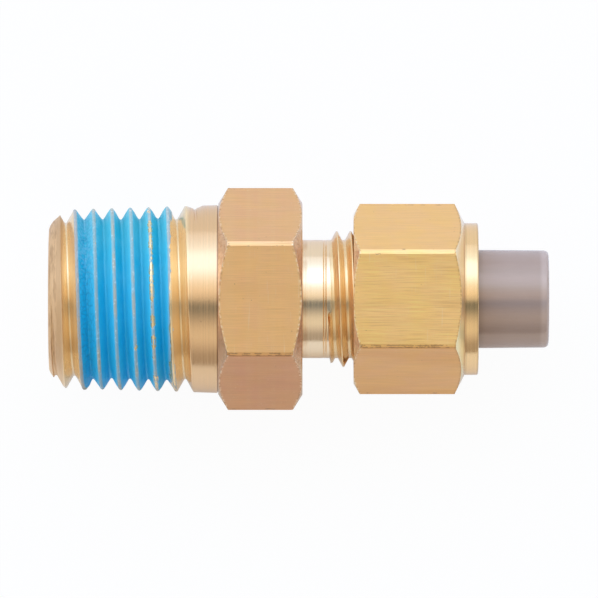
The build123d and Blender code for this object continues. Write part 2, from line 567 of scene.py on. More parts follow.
corner_7 = corner_radius - 0.02
nicked(body, [
    (13.02, corner_7, 29.6, 0.13), (13.35, corner_7, 30.6, 0.09), (14.1, corner_7, -29.4, 0.10),
    (12.98, corner_7, -30.2, 0.16), (13.28, corner_7, -30.9, 0.11), (15.7, corner_7, -30.5, 0.08),
    (16.9, corner_7, -29.7, 0.09), (17.55, corner_7, -30.4, 0.12), (17.5, corner_7, 30.5, 0.10),
    (15.2, corner_7, 90.2, 0.10), (13.9, corner_7, 150.3, 0.13), (16.6, corner_7, -149.5, 0.12),
    (0.02, 4.98, 22, 0.10), (0.03, 5.0, -47, 0.13), (0.02, 4.99, -64, 0.09), (0.03, 5.0, 131, 0.12),
])
corner_6 = nut_corner - 0.03
nicked(nut, [
    (29.36, corner_6, 28.6, 0.12), (29.1, corner_6, 30.4, 0.07), (22.52, corner_6, 29.7, 0.10),
    (22.6, corner_6, -30.4, 0.12), (22.95, corner_6, -29.3, 0.08), (24.3, corner_6, -30.3, 0.07),
    (25.4, corner_6, -29.6, 0.09), (25.75, corner_6, -30.5, 0.07), (26.9, corner_6, -30.2, 0.08),
    (29.3, corner_6, -29.6, 0.11), (24.9, corner_6, 89.7, 0.09), (27.8, corner_6, -90.4, 0.08),
    (26.2, corner_6, 150.2, 0.11), (23.4, corner_6, -149.8, 0.10),
])

# %% [markdown]
# ## The sleeve
#
# The sleeve is moulded in grey plastic: a nose for the seat, a head that the nut pushes, and a thin
# tail with a rounded rim.

# %% Sleeve
tip_x = sleeve_low.x
sleeve_end = sleeve_high.x - 0.1
tip_radius = 3.35
head_radius = 3.85
tail_radius = 3.54
head_x = tip_x + (head_radius - tip_radius) / seat_slope
tail_x = head_x + 0.6 + head_radius - tail_radius
sleeve_outline = [
    (tip_x, tube_radius),
    (tip_x, tip_radius),
    (head_x, head_radius),
    (head_x + 0.6, head_radius),
    (tail_x, tail_radius + 0.03),
    (sleeve_end, tail_radius - 0.025),
    (sleeve_end, tube_radius + 0.08),
    (sleeve_end - 0.08, tube_radius),
]
sleeve = turned("sleeve_grey", sleeve_outline, sleeve_outline[5:6], 0.33)
print("sleeve, open edges", closed_count(sleeve))

# %% [markdown]
# ## The sealing compound
#
# The blue compound was brushed on and cured. It rounds the bottom of the groove, thins out on the
# flanks and hardly covers the crests. So a second pipe thread, with a wider root and finer steps,
# is swollen by a thickness that depends on the place: less than nothing on the last crests, where
# the brass comes through. Noise makes the edges ragged and leaves pits.

# %% Sealant
seal_right = 8.8


def faded(low, high, value):
    """Smooth step from 0 at low to 1 at high, or down when low is the larger."""
    part = min(max((value - low) / (high - low), 0), 1)
    return part * part * (3 - 2 * part)


def seal_left(place):
    """Where the compound starts along the axis: on a crest, and on the far side it steps back."""
    part = math.atan2(-place.y, place.z) / (2 * math.pi) % 1
    back = faded(0.46, 0.54, part)
    return first_groove + (part - back + 0.4) * pitch


def film(place, radius):
    """Thickness of the compound over the brass at a place of the thread, in millimetres."""
    height = (radius - (end_radius + place.x * taper - depth)) / depth
    wave = noise.noise(place * 0.9)
    grain = noise.noise(place * 3.1 + Vector((7, 0, 0)))
    fine = noise.noise(place * 9.0 + Vector((0, 5, 0)))
    first = faded(4.6, 3.4, place.x)
    root = 0.1 * first * max(0, 1 - height * 2.0) * (1 + 0.8 * wave)
    crest = faded(0.8, 0.95, height)
    last = faded(5.7, 7.4, place.x) * faded(8.7, 8.3, place.x)
    worn = faded(0.42, 0.62, 0.5 * last + 0.5 * wave + 0.3 * grain + 0.25 * fine)
    lump = 0.13 * faded(0.85, 0.3, (place - Vector((2.72, -6.5, 0))).length)
    thick = 0.05 + root + lump + 0.012 * grain + 0.008 * fine - crest * (0.035 + 0.06 * worn)
    left = (place.x - seal_left(place) - 0.05 * wave - 0.04 * grain) * 0.6
    right = (seal_right + 0.1 * faded(-2, -5, -place.y) - place.x - 0.2 * wave - 0.1 * grain) * 0.5
    return max(min(thick, left, right), -0.09)


middle = tube_start + pitch / 2
bottom = end_radius - depth
seal_outline = taper_outline[:2] + [
    (middle - 0.2, bottom + 0.2),
    (middle - 0.09, bottom + 0.05),
    (middle + 0.09, bottom + 0.05),
    (middle + 0.2, bottom + 0.2),
] + taper_outline[4:]
seal = pipe_thread("blue_compound", seal_outline, steps=288, segments=1, splits=1)
sawn_off(seal, seal_low.x - 0.4, seal_right + 0.35, close=False)
brass_places = [(vert.co.copy(), vert.normal.copy()) for vert in seal.data.vertices]
for vert, (place, normal) in zip(seal.data.vertices, brass_places):
    vert.co = place + normal * film(place, math.hypot(place.y, place.z))
bpy.ops.object.modifier_add(type="SOLIDIFY")
seal.modifiers[-1].thickness = 0.12
seal.modifiers[-1].offset = -1
bpy.ops.object.modifier_apply(modifier=seal.modifiers[-1].name)
print("compound", len(seal.data.vertices), "points, open edges", closed_count(seal))

# %% [markdown]
# ## Stage
#
# The floor is plain and white, and the camera looks straight down on the fitting, from a little
# under a metre.

# %% Camera
image_pixels = 598
pixels_per_mm = 13.8
camera_x = 18.09
camera_height = 900.0
sensor = 36.0
bpy.ops.object.select_all(action="DESELECT")
bpy.ops.object.camera_add(location=(camera_x * MM, 0, camera_height * MM), rotation=(0, 0, 0))
camera = bpy.context.object
camera.data.sensor_width = sensor
camera.data.lens = sensor * camera_height * pixels_per_mm / image_pixels
bpy.context.scene.camera = camera

# %% Floor
bpy.ops.object.select_all(action="DESELECT")
bpy.ops.mesh.primitive_plane_add(size=1.6, location=(camera_x * MM, 0, body_low.z * MM))
floor = bpy.context.object
floor.name = "floor"

# %% [markdown]
# ## Light
#
# The piece lay under a long soft box on one side, with a dark gap beside the camera and a paler
# wall on the other side. Turned metal shows that as bands along the axis. A world whose colour
# depends only on the angle round the X axis gives those bands and no hot spots. The floor gives its
# own white to the camera and to reflections, and stays a real surface for the shadow.

# %% Helpers for nodes
def node_of(tree, kind, **inputs):
    """A node of a kind, with some of its inputs set or joined to other sockets."""
    node = tree.nodes.new(kind)
    for name, value in inputs.items():
        socket = node.inputs[int(name[1:])] if name[1:].isdigit() else node.inputs[name]
        joined_or_set(tree, socket, value)
    return node


def joined_or_set(tree, socket, value):
    """Links a socket to another one, or gives it a plain value."""
    if isinstance(value, bpy.types.NodeSocket):
        tree.links.new(value, socket)
    elif isinstance(value, tuple) and len(value) == 3 and socket.type == "RGBA":
        socket.default_value = (*value, 1)
    else:
        socket.default_value = value


def filled(tree, node, **inputs):
    """Sets or joins inputs of a node by their names, and hands the node back."""
    for name, value in inputs.items():
        joined_or_set(tree, node.inputs[name], value)
    return node


def maths(tree, operation, first, second=0.0, third=0.0, clamp=False):
    """One sum of a Math node."""
    node = tree.nodes.new("ShaderNodeMath")
    node.operation = operation
    node.use_clamp = clamp
    for socket, value in zip(node.inputs, (first, second, third)):
        joined_or_set(tree, socket, value)
    return node.outputs[0]


def times(tree, first, second):
    """Product of two values."""
    return maths(tree, "MULTIPLY", first, second)


def scaled(tree, value, factor, offset):
    """A value times a factor, plus an offset."""
    return maths(tree, "MULTIPLY_ADD", value, factor, offset)


def minus(tree, first, second):
    """First value less the second."""
    return maths(tree, "SUBTRACT", first, second)


def larger(tree, first, second):
    """The larger of two values."""
    return maths(tree, "MAXIMUM", first, second)


def noise_at(tree, place, scale, detail, roughness=0.5):
    """Clouds of a Noise texture, from 0 to 1."""
    node = tree.nodes.new("ShaderNodeTexNoise")
    filled(tree, node, Vector=place, Scale=scale, Detail=detail, Roughness=roughness)
    return node.outputs[0]


def ramp(tree, factor, stops, between="LINEAR"):
    """Colour ramp with (place, colour) stops."""
    node = node_of(tree, "ShaderNodeValToRGB", i0=factor)
    band = node.color_ramp
    band.interpolation = between
    while len(band.elements) < len(stops):
        band.elements.new(1.0)
    for element, (place, colour) in zip(band.elements, stops):
        element.position = place
        element.color = (*colour, 1)
    return node.outputs[0]


def blended(tree, factor, first, second, mode="MIX"):
    """Mix Color node."""
    node = tree.nodes.new("ShaderNodeMix")
    node.data_type = "RGBA"
    node.blend_type = mode
    for index, value in ((0, factor), (6, first), (7, second)):
        joined_or_set(tree, node.inputs[index], value)
    return node.outputs[2]


def tinted(tree, colour, mask, share, tone):
    """A colour that goes over to a tone, by a share of a mask."""
    return blended(tree, times(tree, mask, share), colour, tone)


def multiplied(tree, colour, tone):
    """A colour times another colour or a grey."""
    return blended(tree, 1.0, colour, tone, "MULTIPLY")


def step_up(tree, value, low, high):
    """Smooth step from 0 at low to 1 at high, or down when low is the larger."""
    node = tree.nodes.new("ShaderNodeMapRange")
    node.interpolation_type = "SMOOTHSTEP"
    for index, number in enumerate((value, low, high, 0.0, 1.0)):
        joined_or_set(tree, node.inputs[index], number)
    return node.outputs[0]


# %% World
bpy.context.scene.view_settings.view_transform = "Standard"
world = bpy.data.worlds.new("studio")
bpy.context.scene.world = world
world.use_nodes = True
tree = world.node_tree
tree.nodes.clear()
direction = node_of(tree, "ShaderNodeTexCoord")
parts = node_of(tree, "ShaderNodeSeparateXYZ", i0=direction.outputs["Generated"])
lean = maths(tree, "ARCTAN2", parts.outputs["Y"], parts.outputs["Z"])
share_of_arc = maths(tree, "MULTIPLY_ADD", lean, 1 / math.pi, 0.5, clamp=True)
brightness = 3.2
studio_bands = [
    (-90, (0.42, 0.40, 0.40)),
    (-72, (0.46, 0.44, 0.44)),
    (-60, (0.68, 0.66, 0.66)),
    (-50, (0.82, 0.82, 0.80)),
    (-38, (0.78, 0.78, 0.76)),
    (-28, (0.60, 0.60, 0.60)),
    (-20, (0.40, 0.42, 0.44)),
    (-14, (0.26, 0.29, 0.32)),
    (-6, (0.24, 0.27, 0.30)),
    (0, (0.74, 0.74, 0.74)),
    (8, (1.02, 1.00, 0.98)),
    (20, (1.10, 1.20, 1.35)),
    (28, (1.22, 1.50, 1.95)),
    (38, (1.50, 1.90, 2.85)),
    (56, (1.50, 1.90, 2.85)),
    (66, (1.14, 1.46, 2.05)),
    (78, (1.04, 1.24, 1.65)),
    (90, (1.00, 1.14, 1.45)),
]
bands = ramp(tree, share_of_arc, [
    (0.5 + degrees / 180, tuple(level / brightness for level in colour))
    for degrees, colour in studio_bands
])
from_left = scaled(tree, parts.outputs["X"], -0.9, brightness)
studio = node_of(tree, "ShaderNodeBackground", Color=bands, Strength=from_left)
paper = node_of(tree, "ShaderNodeBackground", Color=(1, 1, 1), Strength=1.0)
path = node_of(tree, "ShaderNodeLightPath")
to_camera = path.outputs["Is Camera Ray"]
seen = node_of(tree, "ShaderNodeMixShader", i0=to_camera, i1=studio.outputs[0], i2=paper.outputs[0])
node_of(tree, "ShaderNodeOutputWorld", Surface=seen.outputs[0])


# %% Floor finish
def new_material(name):
    """Empty material, with its name and its node tree."""
    made = bpy.data.materials.new(name)
    made.use_nodes = True
    made.node_tree.nodes.clear()
    return made, made.node_tree


white, tree = new_material("white_paper")
grain = node_of(tree, "ShaderNodeTexNoise", Scale=900.0, Detail=2.0)
tone = blended(tree, grain.outputs[0], (0.88, 0.88, 0.88), (0.92, 0.92, 0.92))
matt = node_of(tree, "ShaderNodeBsdfDiffuse", Color=tone)
glow = node_of(tree, "ShaderNodeEmission", Color=(1, 1, 1), Strength=1.0)
path = node_of(tree, "ShaderNodeLightPath")
to_camera = times(tree, path.outputs["Is Camera Ray"], 0.95)
mirrored = larger(tree, path.outputs["Is Glossy Ray"], path.outputs["Is Transmission Ray"])
own_light = scaled(tree, mirrored, 0.2, to_camera)
mixed = node_of(tree, "ShaderNodeMixShader", i0=own_light, i1=matt.outputs[0], i2=glow.outputs[0])
node_of(tree, "ShaderNodeOutputMaterial", Surface=mixed.outputs[0])
floor.data.materials.append(white)

# %% [markdown]
# ## Effects that the finishes share
#
# Each effect is a node group, built once. The first one only says where a point lies: its place and
# its distance from the axis in millimetres, and how far round the axis it is. The others draw what
# tools and hands leave: rings from turning, lines from drawing the bar, the corner that was turned
# off the hexagon, a dirty line near an edge, and patches, specks and scratches. One of them also
# paints shade: a darker tone on the flats that face away from the light.


# %% Groups
def new_group(name, inputs, outputs):
    """Empty node group with its sockets, and its first and last node."""
    group = bpy.data.node_groups.new(name, "ShaderNodeTree")
    for label, kind in inputs:
        group.interface.new_socket(label, in_out="INPUT", socket_type=kind)
    for label, kind in outputs:
        group.interface.new_socket(label, in_out="OUTPUT", socket_type=kind)
    return group, group.nodes.new("NodeGroupInput"), group.nodes.new("NodeGroupOutput")


def surfaced(tree, colour, rough, relief, height, metallic=0.0):
    """Principled surface, its relief a height in metres, joined to the material's output."""
    bump = node_of(tree, "ShaderNodeBump", Strength=1.0, Distance=height, Height=relief)
    shader = node_of(tree, "ShaderNodeBsdfPrincipled", Metallic=metallic, Roughness=rough)
    filled(tree, shader, Normal=bump.outputs[0])
    joined_or_set(tree, shader.inputs["Base Color"], colour)
    node_of(tree, "ShaderNodeOutputMaterial", Surface=shader.outputs[0])
    return shader


def placed(tree, group, **inputs):
    """A group in a material, with its inputs set or joined."""
    node = tree.nodes.new("ShaderNodeGroup")
    node.node_tree = group
    return filled(tree, node, **inputs).outputs


NUMBER = "NodeSocketFloat"
VECTOR = "NodeSocketVector"

# %% Where a point lies
spot, start, end = new_group("spot", [], [
    ("Place", VECTOR), ("Along", NUMBER), ("Radius", NUMBER), ("Turn", NUMBER),
])
coordinates = node_of(spot, "ShaderNodeTexCoord")
enlarge = node_of(spot, "ShaderNodeVectorMath", i0=coordinates.outputs["Object"])
enlarge.operation = "SCALE"
enlarge.inputs["Scale"].default_value = 1000.0
parts = node_of(spot, "ShaderNodeSeparateXYZ", i0=enlarge.outputs[0])
across = parts.outputs["Y"]
up = parts.outputs["Z"]
squares = scaled(spot, across, across, times(spot, up, up))
# In turns from the top towards -Y. The count jumps from 0.5 to -0.5 on the underside.
opposite = times(spot, across, -1.0)
turn = maths(spot, "DIVIDE", maths(spot, "ARCTAN2", opposite, up), 2 * math.pi)
radius = maths(spot, "SQRT", squares)
filled(spot, end, Place=enlarge.outputs[0], Along=parts.outputs["X"], Radius=radius, Turn=turn)

# %% Rings from turning
turning, start, end = new_group(
    "turning_rings", [("Along", NUMBER), ("Fineness", NUMBER)], [("Rings", NUMBER), ("Bands", NUMBER)]
)
dense = times(turning, start.outputs["Along"], start.outputs["Fineness"])
rings = node_of(turning, "ShaderNodeTexNoise", Scale=1.0, Detail=3.0, Roughness=0.7)
rings.noise_dimensions = "1D"
filled(turning, rings, W=dense)
broad = node_of(turning, "ShaderNodeTexNoise", Scale=0.17, Detail=1.0)
broad.noise_dimensions = "1D"
filled(turning, broad, W=dense)
filled(turning, end, Rings=step_up(turning, rings.outputs[0], 0.3, 0.7))
filled(turning, end, Bands=step_up(turning, broad.outputs[0], 0.3, 0.7))

# %% Lines along drawn bar
drawing, start, end = new_group(
    "drawn_lines", [("Place", VECTOR)], [("Lines", NUMBER), ("Sheen", NUMBER)]
)
stretch = node_of(drawing, "ShaderNodeMapping", Vector=start.outputs["Place"], Scale=(0.4, 18.0, 18.0))
lines = noise_at(drawing, stretch.outputs[0], 1.0, 3.0, 0.55)
wide = node_of(drawing, "ShaderNodeMapping", Vector=start.outputs["Place"], Scale=(0.12, 0.9, 0.9))
sheen = noise_at(drawing, wide.outputs[0], 1.0, 2.0)
filled(drawing, end, Lines=step_up(drawing, lines, 0.3, 0.7), Sheen=step_up(drawing, sheen, 0.3, 0.7))

# %% Corner turned off a hexagon
corner, start, end = new_group(
    "turned_corner",
    [("Away", NUMBER), ("Radius", NUMBER), ("Face", NUMBER), ("Growth", NUMBER), ("Place", VECTOR)],
    [("Cone", NUMBER), ("Burr", NUMBER), ("Dirt", NUMBER)],
)
cone_radius = scaled(corner, start.outputs["Away"], start.outputs["Growth"], start.outputs["Face"])
gap = minus(corner, cone_radius, start.outputs["Radius"])
on_cone = step_up(corner, gap, 0.03, 0.01)
crumbs = noise_at(corner, start.outputs["Place"], 5.5, 3.0)
line = times(corner, step_up(corner, gap, 0.01, 0.03), step_up(corner, gap, 0.3, 0.08))
light = times(corner, line, step_up(corner, crumbs, 0.5, 0.58))
dark = times(corner, line, step_up(corner, crumbs, 0.47, 0.4))
filled(corner, end, Cone=on_cone, Burr=light, Dirt=dark)

# %% Painted shade for each flat, and the dirty line beside its edge, heavier on one edge as painted shade
flats, start, end = new_group(
    "flats", [("Turn", NUMBER), ("Radius", NUMBER), ("Place", VECTOR)],
    [("Tone", "NodeSocketColor"), ("Line", NUMBER)],
)
sixth = maths(flats, "FRACT", maths(flats, "ADD", start.outputs["Turn"], 1.0 + 1 / 12))
# Painted shade: each flat gets its own tone, the upper flat on the -Y side much darker and the lower
# flats a little darker, as the light falls from +Y.
painted_flat_shades = [
    (0.0, (1.0, 1.0, 1.0)), (1 / 6, (0.77, 0.68, 0.78)), (2 / 6, (0.95, 0.90, 0.92)),
    (3 / 6, (0.97, 0.95, 0.92)), (4 / 6, (0.93, 0.88, 0.90)), (5 / 6, (0.97, 0.97, 1.04)),
]
painted_flat_shade = ramp(flats, sixth, painted_flat_shades, "CONSTANT")
part = maths(flats, "FRACT", scaled(flats, start.outputs["Turn"], 6.0, 6.0))
part = maths(flats, "ABSOLUTE", minus(flats, part, 0.5))
from_corner = times(flats, times(flats, part, math.pi / 3), start.outputs["Radius"])
ragged = noise_at(flats, start.outputs["Place"], 5.0, 3.0)
from_corner = scaled(flats, ragged, 0.16, minus(flats, from_corner, 0.08))
crumbs = noise_at(flats, start.outputs["Place"], 1.7, 3.0)
# The dark line is dirt along every edge. Along the upper edge on the -Y side it sits nearer the corner
# and is less broken, as painted shade.
from_shaded_edge = maths(flats, "ABSOLUTE", minus(flats, start.outputs["Turn"], 1 / 12))
near_shaded_edge = step_up(flats, from_shaded_edge, 0.04, 0.03)
broken = step_up(flats, scaled(flats, near_shaded_edge, 0.18, crumbs), 0.6, 0.68)
from_corner = scaled(flats, near_shaded_edge, 0.12, from_corner)
line = times(flats, step_up(flats, from_corner, 0.14, 0.17), step_up(flats, from_corner, 0.26, 0.22))
filled(flats, end, Tone=painted_flat_shade, Line=times(flats, line, broken))

# %% Patches, specks and scratches
handling, start, end = new_group(
    "handling", [("Place", VECTOR), ("Speck", NUMBER)],
    [("Patches", NUMBER), ("Specks", NUMBER), ("Scratches", NUMBER)],
)
clouds = noise_at(handling, start.outputs["Place"], 0.55, 4.0)
dots = node_of(handling, "ShaderNodeTexVoronoi", Vector=start.outputs["Place"], Scale=1.7)
chance = node_of(handling, "ShaderNodeSeparateColor", Color=dots.outputs["Color"])
near_dot = step_up(handling, dots.outputs["Distance"], start.outputs["Speck"], 0.0)
spotted = times(handling, near_dot, step_up(handling, chance.outputs[0], 0.62, 0.7))
tilted = node_of(handling, "ShaderNodeMapping", Vector=start.outputs["Place"], Scale=(9.0, 0.5, 9.0))
filled(handling, tilted, Rotation=(0.4, 0.3, 1.1))
strands = noise_at(handling, tilted.outputs[0], 1.0, 2.0)
filled(handling, end, Patches=step_up(handling, clouds, 0.35, 0.65), Specks=spotted)
filled(handling, end, Scratches=step_up(handling, strands, 0.66, 0.74))
print("effects:", [group.name for group in bpy.data.node_groups])

# %% [markdown]
# ## Turned brass of the body
#
# The threads, shoulder and neck are turned: smooth, with fine rings, so they mirror the light in
# crisp bands. The six flats are still the skin of the drawn bar: duller, with lines along it. One
# material covers both and tells them apart by place, because it is one piece of metal. Painted
# shade darkens the groove beside the hexagon and a few other corners. The lead chamfer is scuffed
# and brown, and a painted highlight makes one side of it bright.


# %% Body brass
def window(tree, value, low, high, soft=0.02):
    """1 between low and high, 0 outside."""
    rise = step_up(tree, value, low - soft, low + soft)
    return times(tree, rise, step_up(tree, value, high + soft, high - soft))


def corner_seen(tree, where, away, face, slope):
    """Masks of a turned corner, from the distance to its end face and its slope in degrees."""
    growth = 1 / math.tan(math.radians(slope))
    return placed(
        tree, corner, Away=away, Radius=where["Radius"], Face=face, Growth=growth, Place=where["Place"]
    )


brass = (0.89, 0.505, 0.195)
brass_rosy = (0.88, 0.49, 0.212)
brass_straw = (0.89, 0.53, 0.217)
brass_shoulder = (0.85, 0.54, 0.275)
brass_thread = (0.93, 0.66, 0.335)
brass_fine_thread = (0.91, 0.63, 0.305)
brass_neck = (0.94, 0.70, 0.43)
# Brown of stains and dirt; it also serves as painted shade in the groove beside the hexagon and along
# one edge of the flats.
stain_and_shade = (0.30, 0.15, 0.08)

body_brass, tree = new_material("body_brass")
where = placed(tree, spot)
along = where["Along"]
rings = placed(tree, turning, Along=along, Fineness=7.0)
lines = placed(tree, drawing, Place=where["Place"])
marks = placed(tree, handling, Place=where["Place"], Speck=0.12)
first_corner = corner_seen(tree, where, minus(tree, along, hex_start), face_radius, hex_slope)
second_corner = corner_seen(tree, where, minus(tree, hex_end, along), face_radius, hex_slope)
cone = larger(tree, first_corner["Cone"], second_corner["Cone"])
burr = larger(tree, first_corner["Burr"], second_corner["Burr"])
dirt = larger(tree, first_corner["Dirt"], second_corner["Dirt"])
outside = step_up(tree, where["Radius"], 6.85, 6.9)
in_hexagon = times(tree, window(tree, along, hex_start, hex_end, 0.004), outside)
flat = times(tree, in_hexagon, minus(tree, 1.0, cone))
burr = times(tree, burr, in_hexagon)
dirt = times(tree, dirt, in_hexagon)
side = placed(tree, flats, Turn=where["Turn"], Radius=where["Radius"], Place=where["Place"])
edge_line = times(tree, side["Line"], flat)
colour = blended(tree, marks["Patches"], brass, brass_rosy)
colour = tinted(tree, colour, rings["Bands"], 0.5, brass_straw)
fine_thread = step_up(tree, along, 20.2, 20.5)
threads = larger(tree, step_up(tree, along, 10.3, 9.9), fine_thread)
colour = blended(tree, step_up(tree, along, hex_start, hex_start - 0.01), colour, brass_shoulder)
colour = blended(tree, step_up(tree, along, hex_end - 0.1, hex_end + 0.1), colour, brass_neck)
colour = blended(tree, threads, colour, blended(tree, fine_thread, brass_thread, brass_fine_thread))
turned_corner = times(tree, cone, in_hexagon)
mottle = noise_at(tree, where["Place"], 3.5, 4.0)
mottled = step_up(tree, mottle, 0.42, 0.6)
corner_tone = blended(tree, mottled, (0.80, 0.54, 0.33), (0.64, 0.42, 0.25))
colour = tinted(tree, colour, turned_corner, 0.85, corner_tone)
# Painted shade: the upper part of the -Y side of the turned corner at the shoulder end of the hexagon
# is darkened.
painted_corner_shade = times(tree, first_corner["Cone"], window(tree, where["Turn"], 0.05, 0.16, 0.03))
painted_corner_shade = times(tree, painted_corner_shade, in_hexagon)
colour = tinted(tree, colour, painted_corner_shade, 0.5, (0.40, 0.29, 0.20))
# Painted shade, in patches: a brown band on the neck right beside the end of the hexagon.
painted_neck_shade = times(tree, window(tree, along, hex_end, hex_end + 0.35, 0.08), marks["Patches"])
colour = tinted(tree, colour, painted_neck_shade, 0.5, (0.70, 0.40, 0.18))
smoother = step_up(tree, along, hex_end - 0.1, hex_end + 0.1)
ring_depth = scaled(tree, smoother, -0.05, 0.09)
ring_tone = scaled(tree, minus(tree, rings["Rings"], 0.5), ring_depth, 1.0)
line_tone = scaled(tree, lines["Lines"], 0.10, 0.95)
tone = blended(tree, flat, ring_tone, line_tone)
colour = multiplied(tree, colour, tone)
# Painted shade: each flat of the hexagon is darkened by its tone.
colour = blended(tree, flat, colour, multiplied(tree, colour, side["Tone"]))
colour = tinted(tree, colour, edge_line, 0.6, stain_and_shade)
colour = tinted(tree, colour, dirt, 0.4, stain_and_shade)
specks = times(tree, marks["Specks"], scaled(tree, threads, -0.35, 0.55))
colour = blended(tree, specks, colour, stain_and_shade)
colour = tinted(tree, colour, marks["Scratches"], 0.3, (0.9, 0.7, 0.45))
lead = step_up(tree, along, 1.25, 0.9)
scuffs = node_of(tree, "ShaderNodeMapping", Vector=where["Place"], Scale=(8.0, 0.8, 0.8))
filled(tree, scuffs, Rotation=(0.0, 0.0, 0.1))
scuff = noise_at(tree, scuffs.outputs[0], 1.0, 4.0, 0.6)
scuffed = step_up(tree, scuff, 0.4, 0.62)
scuffed = times(tree, scuffed, step_up(tree, along, 0.0, 0.1))
lead_tone = blended(tree, scuffed, (0.74, 0.45, 0.215), (0.49, 0.265, 0.115))
lead_tone = blended(tree, window(tree, along, 0.6, 1.2, 0.1), lead_tone, (0.60, 0.35, 0.16))
# Painted highlight: the lead chamfer is paler on its -Y side.
painted_lit_side = times(tree, step_up(tree, where["Turn"], 0.11, 0.2), 0.7)
lead_tone = blended(tree, painted_lit_side, lead_tone, (0.95, 0.66, 0.37))
colour = tinted(tree, colour, lead, 0.85, lead_tone)
# Painted shade: the groove between shoulder and hexagon is darkened to brown.
painted_groove_shade = window(tree, along, hex_start - 0.06, hex_start + 0.01, 0.01)
colour = tinted(tree, colour, painted_groove_shade, 0.75, stain_and_shade)
colour = tinted(tree, colour, burr, 0.6, (0.95, 0.76, 0.5))
turned_rough = scaled(tree, rings["Rings"], 0.12, scaled(tree, smoother, -0.05, 0.15))
drawn_rough = scaled(tree, lines["Sheen"], 0.06, 0.40)
rough = blended(tree, flat, turned_rough, drawn_rough)
rough = blended(tree, lead, rough, (0.5, 0.5, 0.5))
relief = blended(tree, flat, rings["Rings"], lines["Lines"])
relief = scaled(tree, edge_line, -3.0, relief)
relief = scaled(tree, marks["Specks"], -1.5, relief)
relief = scaled(tree, burr, 2.5, relief)
relief = scaled(tree, times(tree, scuff, lead), 14.0, relief)
dulled = scaled(tree, larger(tree, threads, turned_corner), -0.3, 1.0)
surfaced(tree, colour, rough, relief, 0.0000022, dulled)
body.data.materials.append(body_brass)

# %% [markdown]
# ## Drawn brass of the nut
#
# The nut shows more of the bar's skin: its flats have long fine lines. Its turned corners are
# coarser on the side of the body. On the other side they have painted shade at the top and a
# painted highlight next to it, towards -Y, and painted shade darkens both edges of the collar.
# The collar is smooth and almost mirrors.

# %% Nut brass
nut_brass, tree = new_material("nut_brass")
where = placed(tree, spot)
along = where["Along"]
rings = placed(tree, turning, Along=along, Fineness=9.0)
lines = placed(tree, drawing, Place=where["Place"])
marks = placed(tree, handling, Place=where["Place"], Speck=0.1)
first_corner = corner_seen(tree, where, minus(tree, along, nut_start), nut_face, left_slope)
second_corner = corner_seen(tree, where, minus(tree, collar_start, along), collar_radius, right_slope)
cone = larger(tree, first_corner["Cone"], second_corner["Cone"])
collar = step_up(tree, along, collar_start - 0.02, collar_start + 0.01)
turned_part = larger(tree, cone, collar)
flat = minus(tree, 1.0, turned_part)
burr = times(tree, first_corner["Burr"], flat)
dirt = larger(tree, second_corner["Burr"], second_corner["Dirt"])
dirt = times(tree, larger(tree, first_corner["Dirt"], dirt), flat)
colour = blended(tree, marks["Patches"], (0.99, 0.60, 0.205), (0.98, 0.59, 0.225))
mottle = noise_at(tree, where["Place"], 4.0, 4.0)
mottled = times(tree, step_up(tree, mottle, 0.44, 0.58), first_corner["Cone"])
corner_tone = blended(tree, mottled, (1.0, 0.75, 0.42), (0.82, 0.56, 0.31))
colour = blended(tree, cone, colour, corner_tone)
# Painted shade at the top of the turned corner by the collar, and a painted highlight next to it
# towards -Y.
painted_cone_shade = times(tree, second_corner["Cone"], window(tree, where["Turn"], -0.05, 0.035, 0.01))
colour = tinted(tree, colour, painted_cone_shade, 0.6, (0.66, 0.42, 0.21))
painted_cone_highlight = times(tree, second_corner["Cone"], window(tree, where["Turn"], 0.045, 0.2, 0.01))
colour = tinted(tree, colour, painted_cone_highlight, 0.7, (1.0, 0.88, 0.46))
colour = blended(tree, collar, colour, (0.95, 0.62, 0.29))
# Painted shade: darker rings where the turned corner meets the collar and at the collar's end beside
# the sleeve.
painted_collar_edge_shade = window(tree, along, collar_start - 0.12, collar_start + 0.12, 0.04)
painted_collar_edge_shade = larger(tree, painted_collar_edge_shade, window(tree, along, nut_end - 0.12, nut_end, 0.03))
colour = tinted(tree, colour, painted_collar_edge_shade, 0.6, (0.68, 0.43, 0.20))
side = placed(tree, flats, Turn=where["Turn"], Radius=where["Radius"], Place=where["Place"])
edge_line = times(tree, side["Line"], flat)
# Painted shade: each flat of the nut is darkened by its tone.
colour = tinted(tree, colour, flat, 0.8, multiplied(tree, colour, side["Tone"]))
bold = step_up(tree, maths(tree, "ABSOLUTE", where["Turn"]), 0.09, 0.08)
line_depth = scaled(tree, bold, 0.18, 0.1)
line_tone = scaled(tree, minus(tree, lines["Lines"], 0.5), line_depth, 1.01)
ring_tone = scaled(tree, rings["Rings"], 0.06, 0.97)
colour = multiplied(tree, colour, blended(tree, flat, ring_tone, line_tone))
colour = tinted(tree, colour, edge_line, 0.6, stain_and_shade)
colour = tinted(tree, colour, dirt, 0.5, stain_and_shade)
colour = tinted(tree, colour, marks["Specks"], 0.6, stain_and_shade)
colour = tinted(tree, colour, marks["Scratches"], 0.25, (0.92, 0.72, 0.45))
colour = tinted(tree, colour, burr, 0.55, (0.95, 0.78, 0.5))
drawn_rough = scaled(tree, lines["Sheen"], 0.12, 0.36)
turned_rough = scaled(tree, rings["Rings"], 0.1, 0.1)
rough = blended(tree, flat, turned_rough, drawn_rough)
relief = blended(tree, flat, rings["Rings"], lines["Lines"])
relief = scaled(tree, marks["Specks"], -1.5, relief)
relief = scaled(tree, burr, 2.5, relief)
relief = scaled(tree, edge_line, -3.0, relief)
dulled = scaled(tree, minus(tree, turned_part, collar), -0.45, 1.0)
surfaced(tree, colour, rough, relief, 0.0000025, dulled)
nut.data.materials.append(nut_brass)

